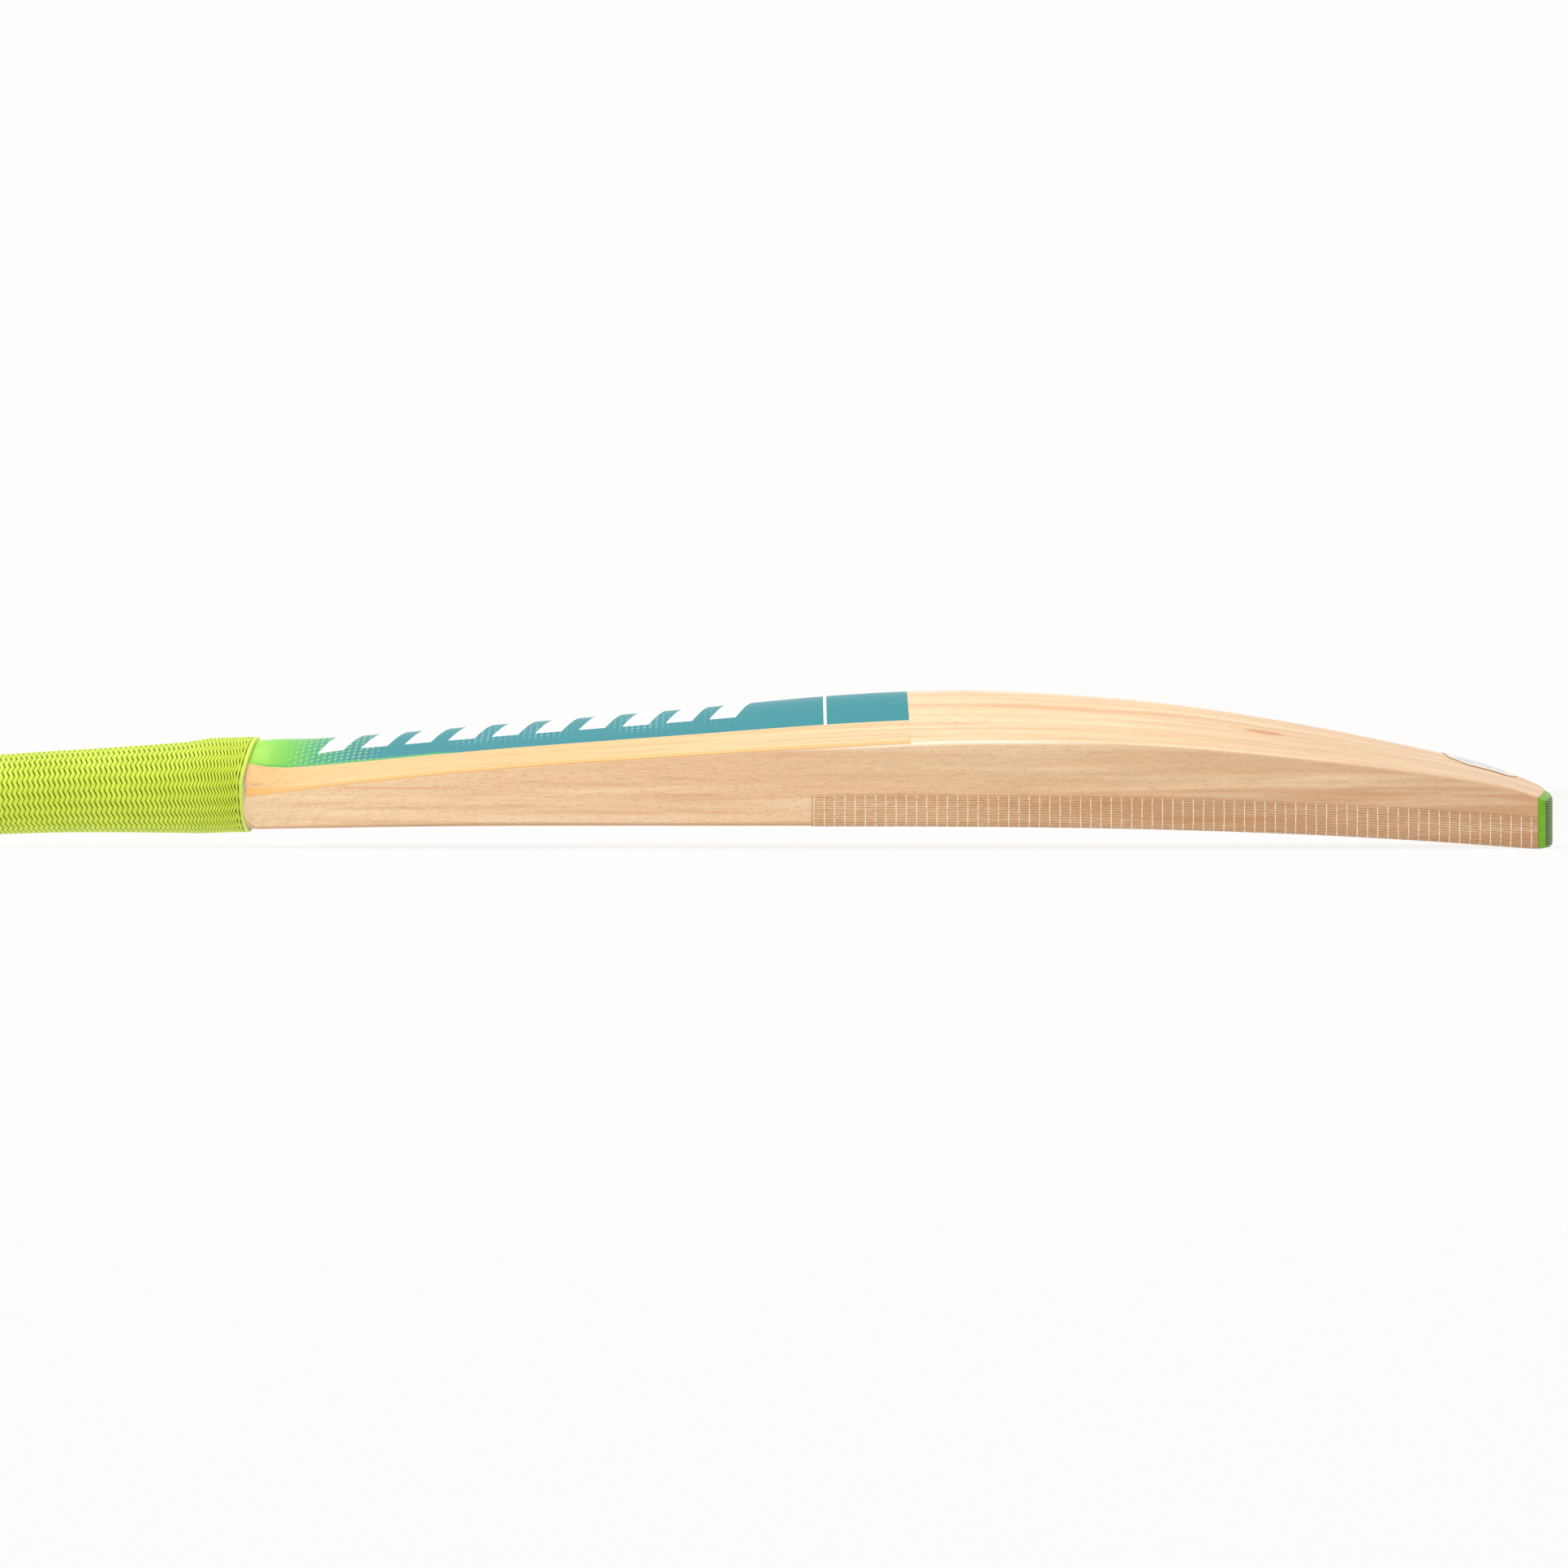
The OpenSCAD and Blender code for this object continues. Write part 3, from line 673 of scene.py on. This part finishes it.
def film(name, half_outside, slot, material, half_underside, replaces, layers):
    """A thin film from half grids of its outside and its underside, with walls between their borders."""
    outer, inner = mirrored(half_outside, False), mirrored(half_underside, False)
    rows, cols = outer.shape[:2]
    points = np.concatenate([outer.reshape(-1, 3), inner.reshape(-1, 3)])
    faces = grid_faces(rows, cols) + walls(rows, cols)
    # every face is turned when the first one looks at the underside
    a, b, _, d = faces[0]
    outwards = points[a] - points[a + rows * cols]
    if np.dot(np.cross(points[b] - points[a], points[d] - points[a]), outwards) < 0:
        faces = [face[::-1] for face in faces]
    full = {key: np.tile(np.concatenate([v, v[:, ::-1][:, 1:]], 1).ravel(), 2) for key, v in layers.items()}
    obj = mesh_object(name, points, faces, slot, material, sharp=50, layers=full)
    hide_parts(replaces)


# printed film over the back, down to the middle of the edges' bevel
back_places = outline(flank=40)
on_flank, on_bevel = back_places[:, 0] == FLANK, back_places[:, 0] == BEVEL
back_places = back_places[on_flank | (on_bevel & (back_places[:, 1] >= 0.5))]
steps = np.concatenate([np.linspace(0, 0.17, 26), np.linspace(0.17, 1, 80)[1:]])
outer = lengthways(LABEL_START, LABEL_END, steps, back_places, LABEL_T)
inner = lengthways(LABEL_START, LABEL_END, steps, back_places, FILM_GAP)
# the film rides up a little over the handle's root
outer[..., 2] += 0.55 * (1 - smooth((outer[..., 0] - 16) / 14)) * (1 - smooth((outer[..., 1] - 18) / 5))
flank_share = np.tile(np.where(back_places[:, 0] == FLANK, 1 - back_places[:, 1], 1), (len(steps), 1))
film("back_film", outer, "back_label", back_print(), inner, "back_label", {"share": flank_share})

# small film at the toe, with cut corners
toe_places = np.array([[FLANK, 1 - k] for k in np.linspace(0.42, 0, 22)])


def toe_sheet(t):
    """Half grid of the toe film, t off the willow. Its corners are drawn in towards the middle row."""
    rows = []
    for x in np.linspace(524, 554, 34):
        y, _ = section(np.full(len(toe_places), x), toe_places, t)
        x_row = mix(x, 540, np.clip((y - 14.5) / 8, 0, 1) * 0.45)
        rows.append(np.stack([x_row, *section(x_row, toe_places, t)], 1))
    return np.array(rows)


toe_outer = toe_sheet(0.35)
toe_border = np.zeros(toe_outer.shape[:2])
toe_border[[0, -1], :] = 1
toe_border[:, 0] = 1
film("toe_film", toe_outer, "toe_label", toe_print(), toe_sheet(FILM_GAP), "toe_label",
     {"border": toe_border})

# printed film on the face, between the shoulders and the splice's tip
face_places = np.array([[FACE, k] for k in np.linspace(0.5, 0, 10)])
steps = np.linspace(0, 1, 24)
outer = lengthways(SHOULDER_LEN, SPLICE_LEN, steps, face_places, LABEL_T)
inner = lengthways(SHOULDER_LEN, SPLICE_LEN, steps, face_places, FILM_GAP)
film("face_print_film", outer, "face_label", face_print(), inner, "face_label", {})

# reinforced sheet over the lower face, folded up both edges, with raised cross yarns
SHEET_ROWS = 150
wrap = outline(flat=26, corner=6, low_side=12)
wrap = np.concatenate([wrap[wrap[:, 0] <= LOW_SIDE], [[LOW_SIDE, 1.0]]])
steps = np.linspace(0, 1, SHEET_ROWS)
outer = lengthways(SHEET_START, BLADE_LEN - GUARD_T, steps, wrap, SHEET_T, to_toe=True)
inner = lengthways(SHEET_START, BLADE_LEN - GUARD_T, steps, wrap, FILM_GAP, to_toe=True)
step_len = np.hypot(*np.diff(outer[..., 1:], axis=1).transpose(2, 0, 1))
girth = np.concatenate([np.zeros((SHEET_ROWS, 1)), np.cumsum(step_len, 1)], 1)
film("face_sheet_film", outer[:, ::-1], "face_sheet", face_film(), inner[:, ::-1], "face_sheet",
     {"girth": girth[:, ::-1]})

# each yarn is a low ridge of four lines: (offset along the bat, height off the willow)
YARN_LINES = ((-0.17, SHEET_T), (-0.09, SHEET_T + 0.12), (0.09, SHEET_T + 0.12), (0.17, SHEET_T))
yarn_points, yarn_faces = [], []
x = SHEET_START + 1.0
while x < BLADE_LEN - GUARD_T - 11:
    strip = []
    for dx, t in YARN_LINES:
        row_x = np.full(len(wrap), x + dx)
        y, z = section(row_x, wrap, t)
        strip.append(np.stack([row_x + 0.05 * np.sin(z * 0.5 + x), y, np.maximum(z, 0)], 1))
    strip = mirrored(np.array(strip)[:, ::-1], False)
    yarn_faces += grid_faces(4, strip.shape[1], start=sum(len(p) for p in yarn_points))
    yarn_points.append(strip.reshape(-1, 3))
    x += YARN_PITCH
mesh_object("sheet_yarns", np.concatenate(yarn_points), yarn_faces, "face_sheet", glass_yarn())

# ---------------------------------------------------------------- toe guard

GUARD_COLS, GUARD_ROWS = 121, 230
# radius of the guard's rounded rim, and pitch and depth of the grooves in its front
ROUND, GROOVE_PITCH, GROOVE_DEPTH = 2.4, 1.05, 0.42
side_y = HALF_WIDTH * np.sin(np.linspace(-1, 1, GUARD_COLS) * math.pi / 2)
half_places = outline(flat=30, corner=14, low_side=3, high_side=3, bevel=10, flank=60)


def guard_limits(y, r):
    """Lowest and highest z of the toe's section at each y, on the arc of radius r."""
    x = np.full(len(half_places), toe_x(abs(y), r))
    py, pz = section(x, half_places)
    below, above = half_places[:, 0] < LOW_SIDE, half_places[:, 0] > HIGH_SIDE
    z0 = np.interp(abs(y), py[below], pz[below])
    z1 = np.interp(abs(y), py[above][::-1], pz[above][::-1])
    return z0, z1


limits = np.array([guard_limits(y, TOE_R + GUARD_T) for y in side_y])
roots = np.array([guard_limits(y, TOE_R) for y in side_y])
front, marks, end_face_shade = [], [], []
for i, y in enumerate(side_y):
    z = mix(limits[i, 0], limits[i, 1], np.linspace(0, 1, GUARD_ROWS))
    gap = np.minimum(np.minimum(z - limits[i, 0], limits[i, 1] - z), (HALF_WIDTH - abs(y)) * 1.2)
    pull = ROUND - np.sqrt(np.maximum(ROUND**2 - np.maximum(ROUND - gap, 0) ** 2, 0))
    groove = np.abs(np.cos(math.pi * z / GROOVE_PITCH)) ** 3 * smooth((gap - 0.25) / 0.7)
    x = toe_x(y, TOE_R + GUARD_T) - pull - GROOVE_DEPTH * groove
    front.append(np.stack([x, np.full(GUARD_ROWS, y), z], 1))
    # the groove marks and the front-face share carry painted shade for the rubber's colour
    marks.append(groove)
    end_face_shade.append(smooth((gap - 0.1) / 1.2))
front = np.array(front)
back = front.copy()
back[..., 0] = toe_x(side_y)[:, None]
back[..., 2] = mix(roots[:, :1], roots[:, 1:], np.linspace(0, 1, GUARD_ROWS)[None, :])
points = np.concatenate([front.reshape(-1, 3), back.reshape(-1, 3)])
faces = grid_faces(GUARD_COLS, GUARD_ROWS) + walls(GUARD_COLS, GUARD_ROWS)
no_marks = np.zeros(GUARD_COLS * GUARD_ROWS)
guard = mesh_object("toe_guard_rubber", points, faces, "guard_rubber", guard_rubber(), sharp=60,
                    layers={"depth": np.concatenate([np.ravel(marks), no_marks]),
                            "end": np.concatenate([np.ravel(end_face_shade), no_marks])})
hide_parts("toe_guard")

# ---------------------------------------------------------------- grip

# chevrons round the handle, four columns to each
CHEVRONS, CHEVRON_REACH = 22, 0.62
COLS = CHEVRONS * 4
theta = np.arange(COLS) / COLS * 2 * math.pi
zigzag = np.array([-1, 0, 1, 0] * CHEVRONS) * CHEVRON_REACH
slash_leg = np.array([0.6, 1, 0.6, 0.1] * CHEVRONS)
cut_depth = 0.35 + 0.75 * slash_leg
NECK_Z = FACE_Z - NECK_DROP + PROFILE[0, 2] / 2
# 1 at the top of the grip's mouth and 0 low down: the rim leans over the blade at the top
high = np.clip((-np.cos(theta) * 19 + NECK_Z - 29) / 17, 0, 1)


def handle_place(u, t):
    """Points round the handle at distance u from the neck (one for each column) and t off the cane."""
    flare = 1 - (1 - np.clip(u / FLARE_LEN, 0, 1)) ** 2
    a = mix(NECK_HALF_WIDTH, CANE_R, flare) + t
    b = mix(PROFILE[0, 2] / 2, CANE_R, flare) + t
    lift = (NECK_Z - NECK_AXIS_Z) * smooth((FLARE_LEN - 20 - u) / 40)
    swell = high * 1.1 * smooth((26 - u) / 14) * (t > 1)
    y, h = -a * np.sin(theta), -b * np.cos(theta) + swell
    lean = TILT * np.clip(u / 20, 0, 1)
    x = -u * math.cos(TILT) - h * np.sin(lean)
    return np.stack([x, y, NECK_AXIS_Z + lift - u * math.sin(TILT) + h * np.cos(lean)], 1)


# place of the rim along the handle, radius of its rolled lip, and tint of the plain ends
RIM_U, RIM_LIP_R, END_TINT = -2.4, 0.48, 0.6
grip_rows, groove_shade_rows, lip_rows = [], [], []


def grip_row(u, t, depth=0.0, lip=0.0, wave=0.0):
    """Adds a ring of points at u and t, with marks for the painted shade in the grooves and the lip's tint.
    """
    shift = -3.8 * high * (1 - smooth((u - RIM_U) / 45))
    grip_rows.append(handle_place(u + shift + wave * zigzag, t))
    groove_shade_rows.append(depth * (0.45 + 0.55 * slash_leg))
    lip_rows.append(np.full(COLS, lip))


# from inside the mouth, round the rim's lip, to the first chevrons
grip_row(6.0, 0.45, 0.6, 1.0)
for angle in np.linspace(-90, 90, 7):
    a = math.radians(angle)
    grip_row(RIM_U + RIM_LIP_R - RIM_LIP_R * math.cos(a), 0.93 + RIM_LIP_R * math.sin(a), lip=1.0)
grip_row(RIM_U + 1.6, 1.42, lip=1.0)
# ridges of chevrons: each is cut by (share of the pitch, share of the height) pairs
u = RIM_U + 2.1
LAST = HANDLE_LEN - LIP_R + GRIP_CAP_T - 2.0
PHASES = ((0.0, 0.0), (0.09, 0.62), (0.22, 0.92), (0.42, 1.0), (0.62, 0.98), (0.8, 0.86), (0.92, 0.5))
while u < LAST - 2.3:
    pitch = 1.25 + 0.99 * float(smooth((u + 2) / 50))
    outside = float(mix(1.4, 2.4, smooth(u / 22)))
    wave = float(smooth((u - RIM_U - 1.5) / 2.5)) * float(smooth((LAST - u) / 4))
    for phase, rise in PHASES:
        grip_row(u + phase * pitch, outside - cut_depth * (1 - rise), 1 - rise, wave=wave)
    u += pitch
grip_row(u, 1.9, 1.0)
# the plain upper end, rolled in to the mouth
grip_row(LAST, 2.4, lip=END_TINT)
end_u = HANDLE_LEN + GRIP_CAP_T - LIP_R
for angle in np.linspace(0, 90, 6):
    a = math.radians(angle)
    grip_row(end_u + LIP_R * math.sin(a), GRIP_R - CANE_R - LIP_R + LIP_R * math.cos(a), lip=END_TINT)
cap_r = GRIP_CAP_T / 2
for angle in np.linspace(90, -90, 6):
    a = math.radians(angle)
    grip_row(HANDLE_LEN + cap_r + cap_r * math.sin(a), MOUTH_R + cap_r - cap_r * math.cos(a) - CANE_R,
             lip=END_TINT)
faces = [f[::-1] for f in grid_faces(len(grip_rows), COLS, True)]
grip = mesh_object("grip_rubber_sleeve", np.concatenate(grip_rows), faces, "grip_rubber", grip_rubber(),
                   layers={"depth": np.concatenate(groove_shade_rows), "lip": np.concatenate(lip_rows),
                           "leg_shade": np.tile(slash_leg, len(grip_rows))})
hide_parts("grip")

# ---------------------------------------------------------------- pieces kept from the CAD model

cane_mat, spring_mat = cane(), spring_rubber()
kept = {"handle_binding": twine(), "neck_tape": cloth_tape()}
for name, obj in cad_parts.items():
    material = kept.get(name)
    if name.startswith("cane_"):
        material = cane_mat
    elif name.startswith("rubber_spring_"):
        material = spring_mat
    if material:
        obj.data.materials.clear()
        obj.data.materials.append(material)

# ---------------------------------------------------------------- floor, light, camera

floor_mesh = bpy.data.meshes.new("floor")
FLOOR_HALF = 30.0
floor_corners = [(x * FLOOR_HALF, y * FLOOR_HALF, 0) for x, y in ((-1, -1), (1, -1), (1, 1), (-1, 1))]
floor_mesh.from_pydata(floor_corners, [], [(0, 1, 2, 3)])
floor_mesh.materials.append(pale_floor())
floor = bpy.data.objects.new("floor", floor_mesh)
bpy.context.scene.collection.objects.link(floor)

world = bpy.data.worlds.new("studio")
world.use_nodes = True
backdrop = world.node_tree.nodes["Background"]
backdrop.inputs["Color"].default_value = (0.99, 0.983, 0.975, 1)
backdrop.inputs["Strength"].default_value = 1.0
bpy.context.scene.world = world


def area_light(name, place, aim, width, height, power):
    data = bpy.data.lights.new(name, "AREA")
    data.shape, data.size, data.size_y, data.energy = "RECTANGLE", width, height, power
    lamp = bpy.data.objects.new(name, data)
    lamp.location = place
    lamp.rotation_euler = (Vector(aim) - Vector(place)).to_track_quat("-Z", "Y").to_euler()
    bpy.context.scene.collection.objects.link(lamp)


area_light("key", (-0.5, -1.1, 1.7), (0.0, 0.0, 0.03), 1.6, 1.0, 9.0)
area_light("top", (0.1, 0.25, 1.8), (0.1, 0.0, 0.03), 1.4, 0.8, 7.0)

camera_data = bpy.data.cameras.new("camera")
camera_data.lens, camera_data.sensor_width = 81.5, 36.0
camera_data.clip_start, camera_data.clip_end = 0.02, 100.0
camera = bpy.data.objects.new("camera", camera_data)
camera.location = (0.0953, -1.5535, 0.0274)
camera.rotation_euler = (math.pi / 2, 0, 0)
bpy.context.scene.collection.objects.link(camera)
bpy.context.scene.camera = camera
bpy.context.scene.view_settings.view_transform = "Standard"
